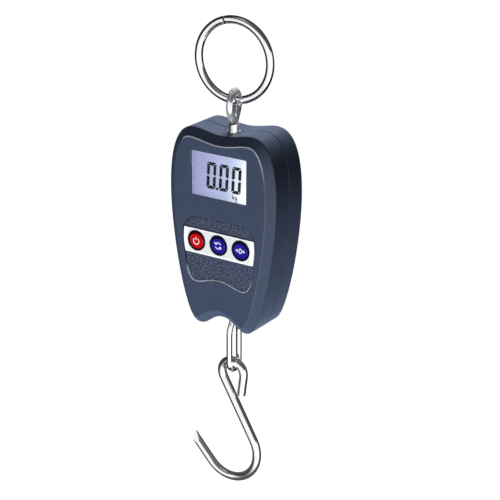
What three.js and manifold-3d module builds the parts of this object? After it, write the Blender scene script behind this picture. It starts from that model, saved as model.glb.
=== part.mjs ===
// Digital hanging scale: a steel ring and an eye bolt above, a two-part plastic housing with a display, three
// buttons, a load cell and a battery compartment, and an eye bolt with an S hook below.
//
// Millimetres. +X is to the right of someone reading the display, +Y runs from the display to the back, +Z is up.
// The pieces are placed in the housing's own frame, whose z = 0 is level with the middle of the housing's height.
// The exported group then moves them down, so that its origin is the inside top of the ring, where the scale hangs.
import * as THREE from "three";
import { mergeVertices } from "three/addons/utils/BufferGeometryUtils.js";
import Module from "manifold-3d";

const wasm = await Module();
wasm.setup();

// ---------------------------------------------------------------- driving dimensions

const gap = 0.1; // between pieces that touch
const runningGap = 0.3; // between pieces that move on each other

const housing = {
  front: -17.5,
  back: 17.5,
  parting: 2.5, // where the front and rear shells meet
  wall: 2.2,
  frontChamfer: { thickness: 4.5, size: 5.6 },
  backChamfer: { thickness: 0.8, size: 0.6 },
};
const innerFront = housing.front + housing.wall;
const innerBack = housing.back - housing.wall;

const ringWire = 2.65; // radii of the round bars
const ringRadius = 25.3;
const hookWire = 3;
const shankRadius = 3.5;
const threadHole = shankRadius + 0.3;
const shankHole = 4.3; // in the shells, clear of the shank

// The eyes stand across the housing, give or take the turn at which their lock nuts came up tight, in degrees.
const topEye = { wire: 2.5, centre: 74.7, shoulder: 74.7, radius: 8.4, shankTop: 64, shankEnd: 32.4, turn: 16 };
const bottomEye = { wire: 2, centre: -99.6, shoulder: -80, radius: 5.5, shankTop: -69, shankEnd: 9.6, turn: 0 };
const ringTurn = 4;
const ringBottom = topEye.centre + topEye.radius - topEye.wire - runningGap - ringWire;
const ringCentre = ringBottom + ringRadius;
const hangHeight = ringCentre + ringRadius - ringWire; // the inside top of the ring

const loadCell = { halfWidth: 14, halfDepth: 5.5, top: 43, bottom: -1, slot: 2, hole: 6 };

const windowHalf = { x: 20.3, z: 14.2 };
const windowCentre = 31.6;
const buttonPitch = 16.84;
const buttonHeight = -13.3;
const buttonRadius = 5.4;
const padDepth = 0.6; // the thumb recess around the buttons
const panelHole = 5.8; // in the keypad panel, around each button

const board = { front: -9.5, back: -7.9, halfWidth: 28.4, top: 50.5, bottom: -33 };
const caseScrews = [[-31.8, 40], [31.8, 40], [-24.5, -44], [24.5, -44]];
const boardScrews = [[-25.9, 42], [25.9, 42], [-25.4, -29.5], [25.4, -29.5]];

const bay = { halfWidth: 17.4, top: -8.6, bottom: -58.2, floor: 4.6, wall: 1 }; // the battery compartment
const cell = { radius: 5.2, length: 44.5, nub: 1, nubRadius: 1.9, pitch: 11.4, depth: 10.1 }; // an AAA cell
const cover = { halfWidth: 19.3, top: -6.6, bottom: -60.2, front: 15.75, back: 17.3 };

// ---------------------------------------------------------------- solids

/** A closed three.js geometry as a manifold-3d solid. */
function solid(geometry) {
  const bare = geometry.index ? geometry.toNonIndexed() : geometry.clone();
  bare.deleteAttribute("normal");
  bare.deleteAttribute("uv");
  const merged = mergeVertices(bare, 1e-4);
  return new wasm.Manifold(
    new wasm.Mesh({
      numProp: 3,
      vertProperties: merged.attributes.position.array,
      triVerts: new Uint32Array(merged.index.array),
    }),
  );
}

/** A manifold-3d solid as a three.js geometry. */
function geometryOf(made) {
  const mesh = made.getMesh();
  const geometry = new THREE.BufferGeometry();
  geometry.setAttribute("position", new THREE.BufferAttribute(mesh.vertProperties, mesh.numProp));
  geometry.setIndex(new THREE.BufferAttribute(mesh.triVerts, 1));
  return geometry;
}

const join = (first, ...rest) => rest.reduce((sum, next) => sum.add(next), first);
const cut = (first, ...rest) => rest.reduce((left, next) => left.subtract(next), first);

function block([x0, x1], [y0, y1], [z0, z1]) {
  const box = new THREE.BoxGeometry(x1 - x0, y1 - y0, z1 - z0);
  return solid(box.translate((x0 + x1) / 2, (y0 + y1) / 2, (z0 + z1) / 2));
}

/** A cylinder along Y at (x, z). */
function post(x, z, radius, yFront, yBack, sides = 16, backRadius = radius) {
  const length = yBack - yFront;
  const cylinder = new THREE.CylinderGeometry(backRadius, radius, length, sides);
  return solid(cylinder.translate(x, (yFront + yBack) / 2, z));
}

/** An upright cylinder on the Z axis. */
function column(radius, bottom, top, sides = 16) {
  const cylinder = new THREE.CylinderGeometry(radius, radius, top - bottom, sides).rotateX(Math.PI / 2);
  return solid(cylinder.translate(0, 0, (bottom + top) / 2));
}

/** A flat outline in XZ, extruded from yFront to yBack. */
function plate(shape, yFront, yBack, curveSegments = 6) {
  const options = { depth: yBack - yFront, bevelEnabled: false, curveSegments };
  return solid(new THREE.ExtrudeGeometry(shape, options).rotateX(Math.PI / 2).translate(0, yBack, 0));
}

/** An outline in XZ between yFront and yBack, chamfered round both faces. */
function chamferedPlate(shape, yFront, yBack, chamfer) {
  const options = {
    depth: yBack - yFront - 2 * chamfer.thickness,
    bevelThickness: chamfer.thickness,
    bevelSize: chamfer.size,
    bevelOffset: -chamfer.size,
    bevelSegments: 1,
  };
  const geometry = new THREE.ExtrudeGeometry(shape, options).rotateX(Math.PI / 2);
  return solid(geometry.translate(0, yBack - chamfer.thickness, 0));
}

function roundedRectangle(halfX, z0, z1, radius) {
  const shape = new THREE.Shape();
  shape.moveTo(-halfX + radius, z0);
  shape.absarc(halfX - radius, z0 + radius, radius, -Math.PI / 2, 0);
  shape.absarc(halfX - radius, z1 - radius, radius, 0, Math.PI / 2);
  shape.absarc(-halfX + radius, z1 - radius, radius, Math.PI / 2, Math.PI);
  shape.absarc(-halfX + radius, z0 + radius, radius, Math.PI, 1.5 * Math.PI);
  return shape;
}

/** A flat path as a curve in space, in the XZ plane or, across, in the YZ plane. */
class FlatCurve extends THREE.Curve {
  constructor(path, across = false) {
    super();
    this.path = path;
    this.across = across;
  }
  getPoint(t) {
    const { x, y } = this.path.getPoint(t);
    return this.across ? new THREE.Vector3(0, x, y) : new THREE.Vector3(x, 0, y);
  }
}

/** A coil spring's centre line, up the Z axis, wider at its foot. */
class Coil extends THREE.Curve {
  constructor(turns, footRadius, topRadius, height) {
    super();
    Object.assign(this, { turns, footRadius, topRadius, height });
  }
  getPoint(t) {
    const radius = THREE.MathUtils.lerp(this.footRadius, this.topRadius, t);
    const angle = 2 * Math.PI * this.turns * t;
    return new THREE.Vector3(radius * Math.cos(angle), radius * Math.sin(angle), this.height * t);
  }
}

/** A round bar or wire along a curve. */
function bar(curve, radius, steps, sides = 10) {
  const section = new THREE.Shape();
  section.setFromPoints(new THREE.EllipseCurve(0, 0, radius, radius).getPoints(sides).slice(0, sides));
  return solid(new THREE.ExtrudeGeometry(section, { steps, extrudePath: curve, bevelEnabled: false }));
}

// ---------------------------------------------------------------- the housing's outline

/** Mirrors a right-hand half, drawn from top centre to bottom centre, into a closed shape. */
function mirroredShape(start, curves, curveSegments) {
  const shape = new THREE.Shape();
  shape.moveTo(...start);
  curves.forEach((c) => shape.bezierCurveTo(...c));
  const starts = [start, ...curves.map((c) => c.slice(4))];
  for (let i = curves.length - 1; i >= 0; i--) {
    const [ax, ay, bx, by] = curves[i];
    const [ex, ey] = starts[i];
    shape.bezierCurveTo(-bx, by, -ax, ay, -ex, ey);
  }
  return new THREE.Shape(shape.getPoints(curveSegments).slice(0, -1));
}

// Dipped between two shoulders on top, widest above the middle, narrowing to two lobes with an arch between them.
const housingShape = mirroredShape([0, 57.5], [
  [8, 57.5, 15, 60.4, 21.4, 60.4],
  [32, 60.4, 40.1, 50, 40.1, 18],
  [40.1, -4, 35, -38, 28.5, -57],
  [25.5, -66, 22.5, -71.3, 17.5, -71.3],
  [11, -71.3, 8, -63.7, 0, -63.7],
], 8);
const outline = housingShape.getPoints();

/** The housing's outline moved inwards by a distance, square to each edge. */
function insetOutline(distance) {
  const at = (i) => outline[(i + outline.length) % outline.length];
  const moved = outline.map((point, i) => {
    const before = point.clone().sub(at(i - 1)).normalize();
    const after = at(i + 1).clone().sub(point).normalize();
    const normal = new THREE.Vector2(before.y + after.y, -before.x - after.x).normalize();
    const mitre = normal.dot(new THREE.Vector2(after.y, -after.x));
    return point.clone().addScaledVector(normal, distance / mitre);
  });
  return new THREE.Shape(moved);
}

// ---------------------------------------------------------------- steelwork

function makeRing() {
  const slit = 0.5 / ringRadius; // the ring is bent round from bar, and its ends meet at a slit
  const slitAngle = THREE.MathUtils.degToRad(104);
  const path = new THREE.Path();
  path.absarc(0, ringCentre, ringRadius, slitAngle + slit / 2, slitAngle - slit / 2 + 2 * Math.PI);
  return bar(new FlatCurve(path), ringWire, 44).rotate([0, 0, ringTurn]);
}

/**
 * An eye of round bar on a straight shank. From the shank the bar spreads to its full width at the shoulder, then
 * runs straight to the centre of the eye's round end. up is 1 where the eye is above its shank and -1 below.
 * One half is bent and cut off square at the middle, and the other half mirrors it.
 */
function makeEyeBolt({ wire, centre, shoulder, radius, shankTop, shankEnd, turn }, up) {
  const foot = shankTop - up * 2; // inside the shank
  const spread = THREE.MathUtils.lerp(shankTop, shoulder, 0.45);
  const pastTheMiddle = up * (Math.PI / 2 - 0.15);
  const path = new THREE.Path();
  path.moveTo(-1, foot);
  path.bezierCurveTo(-1.5, shankTop + up * 3, -radius, spread, -radius, shoulder);
  path.absarc(0, centre, radius, Math.PI, pastTheMiddle, up > 0);
  const otherSide = block([-10, 10], [0, 10], [centre - 50, centre + 50]);
  const half = cut(bar(new FlatCurve(path, true), wire, 18, 8), otherSide);
  const eye = join(half, half.mirror([0, 1, 0])).rotate([0, 0, turn]);
  return join(eye, column(shankRadius, Math.min(shankTop, shankEnd), Math.max(shankTop, shankEnd)));
}

const hookLoop = { x: -1, radius: 8.5 };
const eyeFloor = bottomEye.centre - bottomEye.radius + bottomEye.wire; // what the hook bears on
const hookTop = eyeFloor + runningGap + hookWire;
hookLoop.z = hookTop - Math.sqrt(hookLoop.radius ** 2 - hookLoop.x ** 2);
const hookBend = { x: hookLoop.x - 1.8, z: hookLoop.z - 55.9, radius: 21 };
const hookLean = THREE.MathUtils.degToRad(31); // the straight part, from upright
const hookArmAngle = THREE.MathUtils.degToRad(-137); // where the bend straightens towards the point

/** Half the S hook's small loop, its straight part, the large bend and the arm up to the point, cut off upright. */
function makeHook() {
  const loopLeft = Math.PI + hookLean;
  const arm = { length: 23, dx: Math.sin(hookArmAngle), dz: -Math.cos(hookArmAngle) };
  const path = new THREE.Path();
  path.moveTo(hookLoop.x + 6.7, hookLoop.z - 14.4);
  path.lineTo(hookLoop.x + hookLoop.radius * Math.cos(-0.12), hookLoop.z + hookLoop.radius * Math.sin(-0.12));
  path.absarc(hookLoop.x, hookLoop.z, hookLoop.radius, -0.12, loopLeft);
  path.absarc(hookBend.x, hookBend.z, hookBend.radius, hookLean, hookArmAngle, true);
  const end = path.currentPoint;
  path.lineTo(end.x + arm.length * arm.dx, end.y + arm.length * arm.dz);
  const tipX = end.x + (arm.length - hookWire * 0.9) * arm.dx;
  const beyondTip = block([tipX - 20, tipX], [-9, 9], [end.y, end.y + 40]);
  return cut(bar(new FlatCurve(path), hookWire, 58), beyondTip);
}

/** An S-shaped block: a slot from each side and a hole between them leave thin webs that bend under load. */
function makeLoadCell() {
  const { halfWidth, halfDepth, top, bottom, slot, hole } = loadCell;
  const middle = (top + bottom) / 2;
  const depth = [-halfDepth - 1, halfDepth + 1];
  const upperSlot = [middle + 7.5, middle + 7.5 + slot];
  const lowerSlot = [middle - 7.5 - slot, middle - 7.5];
  return cut(
    block([-halfWidth, halfWidth], [-halfDepth, halfDepth], [bottom, top]),
    block([-halfWidth - 1, halfWidth - 5], depth, upperSlot),
    block([-halfWidth + 5, halfWidth + 1], depth, lowerSlot),
    post(0, middle, hole, ...depth, 20),
    column(threadHole, topEye.shankEnd - 0.4, top + 1),
    column(threadHole, bottom - 1, bottomEye.shankEnd + 0.4),
  );
}

function makeSealant() {
  const middle = (loadCell.top + loadCell.bottom) / 2;
  return post(0, middle, loadCell.hole - gap, -loadCell.halfDepth + 0.4, -1, 18);
}

function makeNut(bottom) {
  const acrossCorners = 6.5 / Math.cos(Math.PI / 6);
  const hexagon = new THREE.CylinderGeometry(acrossCorners, acrossCorners, 5, 6).rotateX(Math.PI / 2);
  const nut = solid(hexagon.rotateZ(Math.PI / 6).translate(0, 0, bottom + 2.5));
  return cut(nut, column(threadHole, bottom - 1, bottom + 6));
}

// ---------------------------------------------------------------- shells

/** The recess under the thumb: an arched pad with two small lobes below. */
const padShape = mirroredShape([0, 2.5], [
  [8, 2.5, 12, 2.5, 16.5, 2.5],
  [22, 2.5, 25.4, -2.4, 27, -5.2],
  [27.7, -10.4, 27.4, -16.3, 26, -23],
  [25.2, -30, 24.4, -41, 17.6, -41],
  [13, -41, 8, -37.5, 0, -37.5],
], 6);

const windowShape = roundedRectangle(windowHalf.x + 0.2, windowCentre - 14.4, windowCentre + 14.4, 0.5);

function shankHoles() {
  return [column(shankHole, 40, 70), column(shankHole, -75, -40)];
}

/** The lip on the front shell that keys into the rear one, as its outer and inner insets. */
const lip = { outer: 1.1, length: 1.8 };

function makeFrontShell() {
  const { front, parting, wall, frontChamfer } = housing;
  const edge = parting - gap / 2;
  const behind = block([-60, 60], [edge, 60], [-90, 90]);
  const outer = cut(chamferedPlate(housingShape, front, 40, frontChamfer), behind);
  const innerChamfer = { thickness: 3.6, size: 3.2 };
  const cavity = chamferedPlate(insetOutline(wall), innerFront, 40, innerChamfer);
  const lipRing = cut(
    plate(insetOutline(lip.outer), edge - 3, edge + lip.length),
    plate(insetOutline(wall), edge - 4, edge + 3),
  );
  const bosses = [
    ...caseScrews.map(([x, z]) => post(x, z, 2.8, innerFront - 0.4, edge - 0.2, 12)),
    ...boardScrews.map(([x, z]) => post(x, z, 2, innerFront - 0.4, board.front - gap, 10)),
  ];
  const holes = [
    ...caseScrews.map(([x, z]) => post(x, z, 1.5, -11, edge + 1, 8)),
    ...boardScrews.map(([x, z]) => post(x, z, 0.95, -14.5, board.front + 1, 8)),
  ];
  const buttonHoles = [-1, 0, 1].map((i) => {
    return post(i * buttonPitch, buttonHeight, buttonRadius + 0.25, front - 1, innerFront + 1, 24);
  });
  return cut(
    join(cut(outer, cavity), lipRing, ...bosses),
    plate(padShape, front - 1, front + padDepth),
    plate(windowShape, front - 1, innerFront + 1, 3),
    ...holes,
    ...buttonHoles,
    ...shankHoles(),
  );
}

function makeRearShell() {
  const { back, parting, wall, backChamfer } = housing;
  const edge = parting + gap / 2;
  const ahead = block([-60, 60], [-60, edge], [-90, 90]);
  const outer = cut(chamferedPlate(housingShape, -40, back, backChamfer), ahead);
  const cavity = plate(insetOutline(wall), -1, innerBack);
  const lipGroove = plate(insetOutline(lip.outer - gap), edge - 1, edge + lip.length + gap);
  const deep = bay.wall;
  const bayWalls = join(
    block([-bay.halfWidth - deep, bay.halfWidth + deep], [bay.floor - deep, back - 0.5],
      [bay.bottom - deep, bay.top + deep]),
    block([-21, 21], [13.8, back - 0.5], [-61.9, -5.2]),
  );
  const bosses = caseScrews.map(([x, z]) => post(x, z, 4.2, 4.4, innerBack + 1, 16));
  const counterbores = caseScrews.map(([x, z]) => {
    return join(post(x, z, 3, 7.4, back + 1, 16), post(x, z, 1.7, 3, 8, 10));
  });
  const bayOpening = block([-bay.halfWidth, bay.halfWidth], [bay.floor, back + 1], [bay.bottom, bay.top]);
  const ledge = plate(roundedRectangle(cover.halfWidth + runningGap, cover.bottom - runningGap,
    cover.top + runningGap, 2.3), cover.front - runningGap, back + 1, 3);
  const fingerNotch = post(0, cover.top + runningGap, 5.5, back - 1.1, back + 1, 20);
  const labelRecess = plate(roundedRectangle(21, 8, 38, 2), back - 0.4, back + 1, 3);
  const shell = join(cut(outer, cavity, lipGroove), bayWalls, ...bosses);
  return cut(shell, bayOpening, ledge, fingerNotch, labelRecess, ...counterbores, ...shankHoles());
}

function makeBatteryCover() {
  const shape = roundedRectangle(cover.halfWidth, cover.bottom, cover.top, 2);
  const skirt = cut(
    block([-bay.halfWidth + 0.4, bay.halfWidth - 0.4], [cover.front - 0.5, cover.front + 0.2],
      [bay.bottom + 0.4, bay.top - 0.4]),
    block([-bay.halfWidth + 1.4, bay.halfWidth - 1.4], [cover.front - 1, cover.front + 1],
      [bay.bottom + 1.4, bay.top - 1.4]),
  );
  return join(plate(shape, cover.front, cover.back, 3), skirt);
}

function makeLabel() {
  return plate(roundedRectangle(20.8, 8.2, 37.8, 1.8), housing.back - 0.3, housing.back - 0.1, 3);
}

// ---------------------------------------------------------------- display

const displayZ = (half) => [windowCentre - half, windowCentre + half];

function makeLens() {
  return join(
    block([-windowHalf.x, windowHalf.x], [housing.front + 0.3, innerFront + 0.4], displayZ(windowHalf.z)),
    block([-22.3, 22.3], [innerFront + gap, innerFront + 1.1], displayZ(16)),
  );
}

function makeDisplayGlass() {
  return block([-22.4, 22.4], [innerFront + 1.2, innerFront + 3.4], displayZ(16.2));
}

function makeBacklight() {
  return block([-21.4, 21.4], [innerFront + 3.5, board.front - gap], [windowCentre - 13.6, windowCentre + 15.4]);
}

function makeDisplayConnector() {
  return block([-20.5, 20.5], [innerFront + 3.5, board.front - gap], [windowCentre - 16, windowCentre - 14.2]);
}

function makeDisplayHolder() {
  const depth = [innerFront + gap, board.front - gap];
  const inside = block([-22.6, 22.6], [-20, 0], displayZ(16.4));
  return cut(block([-23.6, 23.6], depth, displayZ(17.4)), inside);
}

// ---------------------------------------------------------------- keypad

/** The silver panel round the buttons, its ends a little bowed, with a raised rim round each hole. */
function makeKeypadPanel() {
  const top = -5.3;
  const bottom = -21.8;
  const shape = new THREE.Shape();
  shape.moveTo(-26.4, top);
  shape.quadraticCurveTo(-27.6, (top + bottom) / 2, -25.6, bottom);
  shape.lineTo(25.6, bottom);
  shape.quadraticCurveTo(27.6, (top + bottom) / 2, 26.4, top);
  const back = housing.front + padDepth - gap;
  const front = housing.front - 0.2;
  const centres = [-1, 0, 1].map((i) => i * buttonPitch);
  const rims = centres.map((x) => post(x, buttonHeight, panelHole + 1, front - 0.3, back, 24));
  const holes = centres.map((x) => post(x, buttonHeight, panelHole, front - 1, back + 1, 24));
  return cut(join(plate(shape, front, back), ...rims), ...holes);
}

const switchBody = { half: 3, front: -11.9, back: board.front - gap, hole: 2, holeDepth: -10.1 };
const plunger = { radius: 1.7, front: -12.7, back: -10.8 };

/** A button: a domed cap, the flange that keeps it in the shell, and a stem that bears on its switch. */
function makeButton(x) {
  const capTop = housing.front - 1.4;
  const cap = join(
    post(x, buttonHeight, buttonRadius - 0.4, capTop, capTop + 0.4, 24, buttonRadius),
    post(x, buttonHeight, buttonRadius, capTop + 0.4, innerFront + 0.6, 24),
  );
  const flange = post(x, buttonHeight, 6.2, innerFront + 0.1, innerFront + 0.9, 24);
  const stem = post(x, buttonHeight, 1.5, innerFront + 0.8, plunger.front - gap, 12);
  return join(cap, flange, stem);
}

function makeSwitch(x) {
  const { half, front, back, hole, holeDepth } = switchBody;
  const body = block([x - half, x + half], [front, back], [buttonHeight - half, buttonHeight + half]);
  return cut(body, post(x, buttonHeight, hole, front - 1, holeDepth, 14));
}

function makePlunger(x) {
  return post(x, buttonHeight, plunger.radius, plunger.front, plunger.back, 12);
}

// ---------------------------------------------------------------- circuit board

function makeBoard() {
  const shape = roundedRectangle(board.halfWidth, board.bottom, board.top, 2);
  const holes = boardScrews.map(([x, z]) => post(x, z, 1.2, board.front - 1, board.back + 1, 10));
  return cut(plate(shape, board.front, board.back, 3), ...holes);
}

function makeControllerChip() {
  return post(19.5, -20, 5, board.back + gap, board.back + 1.3, 18, 3.4);
}

function makeConverterChip() {
  return block([-22.5, -17.5], [board.back + gap, board.back + 1.4], [-2, 4]);
}

function makeScrew([x, z], headRadius, headFront, headBack, shankEnd, shank) {
  return join(post(x, z, headRadius, headFront, headBack, 14), post(x, z, shank, shankEnd, headFront + 0.2, 8));
}

// ---------------------------------------------------------------- batteries

const cells = [-1, 0, 1].map((i) => ({ x: i * cell.pitch, up: i === 0 ? -1 : 1 }));
const plateThickness = 0.5;
const bayEnd = (up) => (up > 0 ? bay.top : bay.bottom);
const nubEnd = (up) => bayEnd(up) - up * (plateThickness + 2 * gap + 0.2);

/** A cell standing in the compartment, its positive nub up or down. */
function makeCell({ x, up }) {
  const { radius, length, nub, nubRadius } = cell;
  const profile = [[0, 0], [radius - 0.5, 0], [radius, 0.5], [radius, length - nub - 0.5],
    [radius - 0.5, length - nub], [nubRadius, length - nub], [nubRadius, length], [0, length]];
  const lathe = new THREE.LatheGeometry(profile.map(([r, y]) => new THREE.Vector2(r, y)), 18);
  lathe.rotateX(up > 0 ? Math.PI / 2 : -Math.PI / 2);
  return solid(lathe.translate(x, cell.depth, nubEnd(up) - up * length));
}

function makeContactPlate({ x, up }) {
  const z = bayEnd(up) - up * (gap + plateThickness / 2);
  const half = plateThickness / 2;
  return block([x - 4, x + 4], [cell.depth - 4, cell.depth + 4], [z - half, z + half]);
}

function makeContactSpring({ x, up }) {
  const wire = 0.35;
  const room = Math.abs(bayEnd(-up) - (nubEnd(up) - up * cell.length)) - 2 * (gap + wire);
  const spring = bar(new Coil(2.5, 3.6, 2, room), wire, 28, 5);
  const turned = up > 0 ? spring : spring.rotate([180, 0, 0]);
  return turned.translate([x, cell.depth, bayEnd(-up) + up * (gap + wire)]);
}

// ---------------------------------------------------------------- leads inside the housing

function makeLead(points, radius = 0.7) {
  const curve = new THREE.CatmullRomCurve3(points.map((p) => new THREE.Vector3(...p)));
  return bar(curve, radius, 12, 6);
}

const loadCellLead = () => makeLead([[2, -6.7, 21], [12, -6.7, 17], [18, -6.7, 8], [19, -6.7, -2]]);
const batteryLead = (side) => makeLead([[side * 12, 2.7, -14], [side * 13.5, -1, -10],
  [side * 15, -4.5, -11], [side * 15, -6.9, -15]]);

// ---------------------------------------------------------------- materials

const finish = (color, roughness, metalness = 0) => {
  return new THREE.MeshStandardMaterial({ color, roughness, metalness });
};
const materials = {
  housing: finish(0x3a4353, 0.5),
  steel: finish(0xe4e4e6, 0.12, 1),
  zinc: finish(0xb9bcc0, 0.35, 1),
  aluminium: finish(0xc4c7cb, 0.4, 1),
  silver: finish(0xe9ebec, 0.35),
  red: finish(0xc4121c, 0.3),
  blue: finish(0x26269a, 0.3),
  clear: finish(0xdfe8f5, 0.05),
  display: finish(0xc4cdf2, 0.2),
  whitePlastic: finish(0xeeeeea, 0.5),
  rubber: finish(0x2a2a2c, 0.8),
  board: finish(0x1f6b3a, 0.45),
  blackPlastic: finish(0x17181b, 0.45),
  battery: finish(0x2c2f36, 0.3),
  redWire: finish(0xb3201f, 0.5),
};

// ---------------------------------------------------------------- the assembly

const parts = new THREE.Group();
parts.position.z = -hangHeight;

function add(name, material, made) {
  const mesh = new THREE.Mesh(geometryOf(made), materials[material]);
  mesh.name = name;
  parts.add(mesh);
}

add("hanging_ring", "steel", makeRing());
add("top_eye_bolt", "steel", makeEyeBolt(topEye, 1));
add("bottom_eye_bolt", "steel", makeEyeBolt(bottomEye, -1));
add("hook", "steel", makeHook());
add("load_cell", "aluminium", makeLoadCell());
add("strain_gauge_sealant", "whitePlastic", makeSealant());
add("top_lock_nut", "zinc", makeNut(loadCell.top + gap));
add("bottom_lock_nut", "zinc", makeNut(loadCell.bottom - gap - 5));

add("front_shell", "housing", makeFrontShell());
add("rear_shell", "housing", makeRearShell());
add("battery_cover", "housing", makeBatteryCover());
add("rating_label", "silver", makeLabel());

add("display_lens", "clear", makeLens());
add("display_glass", "display", makeDisplayGlass());
add("display_backlight", "whitePlastic", makeBacklight());
add("display_connector", "rubber", makeDisplayConnector());
add("display_holder", "blackPlastic", makeDisplayHolder());

add("keypad_panel", "silver", makeKeypadPanel());
[["power", "red"], ["mode", "blue"], ["tare", "blue"]].forEach(([name, colour], i) => {
  const x = (i - 1) * buttonPitch;
  add(`${name}_button`, colour, makeButton(x));
  add(`${name}_switch`, "blackPlastic", makeSwitch(x));
  add(`${name}_switch_plunger`, "blackPlastic", makePlunger(x));
});

add("circuit_board", "board", makeBoard());
add("controller_chip", "blackPlastic", makeControllerChip());
add("converter_chip", "blackPlastic", makeConverterChip());

caseScrews.forEach((place, i) => {
  add(`case_screw_${i + 1}`, "zinc", makeScrew(place, 2.7, 7.5, 9.6, -8, 1.4));
});
boardScrews.forEach((place, i) => {
  add(`board_screw_${i + 1}`, "zinc", makeScrew(place, 1.9, board.back + gap, board.back + 1.2, -13.5, 0.85));
});

cells.forEach((each, i) => {
  add(`battery_${i + 1}`, "battery", makeCell(each));
  add(`battery_contact_${i + 1}`, "zinc", makeContactPlate(each));
  add(`battery_spring_${i + 1}`, "zinc", makeContactSpring(each));
});

add("load_cell_lead", "rubber", loadCellLead());
add("battery_lead_positive", "redWire", batteryLead(1));
add("battery_lead_negative", "rubber", batteryLead(-1));

const scale = new THREE.Group();
scale.add(parts);
export default scale;
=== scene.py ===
"""A digital hanging scale: ring, eye bolts and S hook in polished steel, and a dark housing with a display.

Shapes are worked out in millimetres in the housing's own frame, as in the CAD source: +X is to the right of
someone reading the display, +Y runs to the back, and z = 0 is level with the housing's middle. to_row() puts
them in metres.
"""

import math

import bmesh
import bpy
import numpy as np
from mathutils import Matrix, Vector


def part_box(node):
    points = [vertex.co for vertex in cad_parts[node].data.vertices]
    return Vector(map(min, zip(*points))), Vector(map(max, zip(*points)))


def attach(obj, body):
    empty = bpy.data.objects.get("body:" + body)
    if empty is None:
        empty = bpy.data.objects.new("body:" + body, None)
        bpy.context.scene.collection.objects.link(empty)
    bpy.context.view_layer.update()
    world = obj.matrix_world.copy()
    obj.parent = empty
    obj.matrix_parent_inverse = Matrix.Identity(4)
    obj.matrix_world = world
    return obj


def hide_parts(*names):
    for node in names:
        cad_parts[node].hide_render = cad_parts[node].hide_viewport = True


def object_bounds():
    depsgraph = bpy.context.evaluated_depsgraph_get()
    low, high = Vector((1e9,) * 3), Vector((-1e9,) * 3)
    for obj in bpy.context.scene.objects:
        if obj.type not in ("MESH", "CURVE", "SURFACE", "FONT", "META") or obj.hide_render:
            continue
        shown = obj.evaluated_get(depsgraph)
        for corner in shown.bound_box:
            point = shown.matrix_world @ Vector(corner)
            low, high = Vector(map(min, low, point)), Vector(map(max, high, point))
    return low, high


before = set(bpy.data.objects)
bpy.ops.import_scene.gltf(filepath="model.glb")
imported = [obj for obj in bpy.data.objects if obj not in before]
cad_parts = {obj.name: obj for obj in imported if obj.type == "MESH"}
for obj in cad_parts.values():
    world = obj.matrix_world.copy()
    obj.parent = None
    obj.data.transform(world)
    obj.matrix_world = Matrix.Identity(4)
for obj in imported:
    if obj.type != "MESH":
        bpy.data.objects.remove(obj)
cad_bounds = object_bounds()

# ---------------- driving dimensions, in millimetres
# WINDOW_, FLANGE_ and GLASS_ sizes in X and Z, and every half, are half of the whole.

GAP = 0.1
RUNNING_GAP = 0.3
BEYOND = 1.0  # how far a cutter reaches past the face that it opens
FRONT, PARTING, BACK, WALL = -17.5, 2.5, 17.5, 2.2
INNER_FRONT, INNER_BACK = FRONT + WALL, BACK - WALL
FRONT_CHAMFER, FRONT_INSET = 4.5, 5.6
BACK_CHAMFER, BACK_INSET = 0.8, 0.6
PARTING_GROOVE = 0.35

RING_WIRE, HOOK_WIRE, SHANK, SHANK_HOLE = 2.65, 3.0, 3.5, 4.3
RING_RADIUS, RING_TURN, RING_SLIT, RING_SLIT_AT = 25.3, 4.0, 0.8, 104.0
# How far the painted shade in the ring's slit reaches.
SLIT_PAINT_MARGIN = 0.012  # in radians, past each end face of the ring's bar
TOP_EYE = dict(wire=2.5, centre=74.7, shoulder=74.7, radius=8.4, shank_top=64, shank_end=32.4, turn=16, up=1)
BOTTOM_EYE = dict(wire=2.0, centre=-99.6, shoulder=-80, radius=5.5, shank_top=-69, shank_end=9.6, turn=0,
                  up=-1)
TOP_COLLAR = dict(low=57.2, high=58.1, radius=4.1)
RING_CENTRE = TOP_EYE["centre"] + TOP_EYE["radius"] - TOP_EYE["wire"] - RUNNING_GAP - RING_WIRE + RING_RADIUS
HANG_HEIGHT = RING_CENTRE + RING_RADIUS - RING_WIRE

HOOK_LOOP_X, HOOK_LOOP_RADIUS, HOOK_BEND_RADIUS = -1.0, 8.5, 21.0
HOOK_TOP = BOTTOM_EYE["centre"] - BOTTOM_EYE["radius"] + BOTTOM_EYE["wire"] + RUNNING_GAP + HOOK_WIRE
HOOK_LOOP = (HOOK_LOOP_X, HOOK_TOP - math.sqrt(HOOK_LOOP_RADIUS**2 - HOOK_LOOP_X**2))
HOOK_BEND = (HOOK_LOOP[0] - 1.8, HOOK_LOOP[1] - 55.9)
HOOK_START = (HOOK_LOOP[0] + 6.7, HOOK_LOOP[1] - 14.4)
HOOK_LEAN, HOOK_ARM_ANGLE, HOOK_ARM = math.radians(31), math.radians(-137), 23.0
HOOK_FACET = Vector((0.08, -0.88, 0.46)).normalized()  # the direction that the ground facet at the tip faces
HOOK_FACET_OFFSET = 1.5

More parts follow.
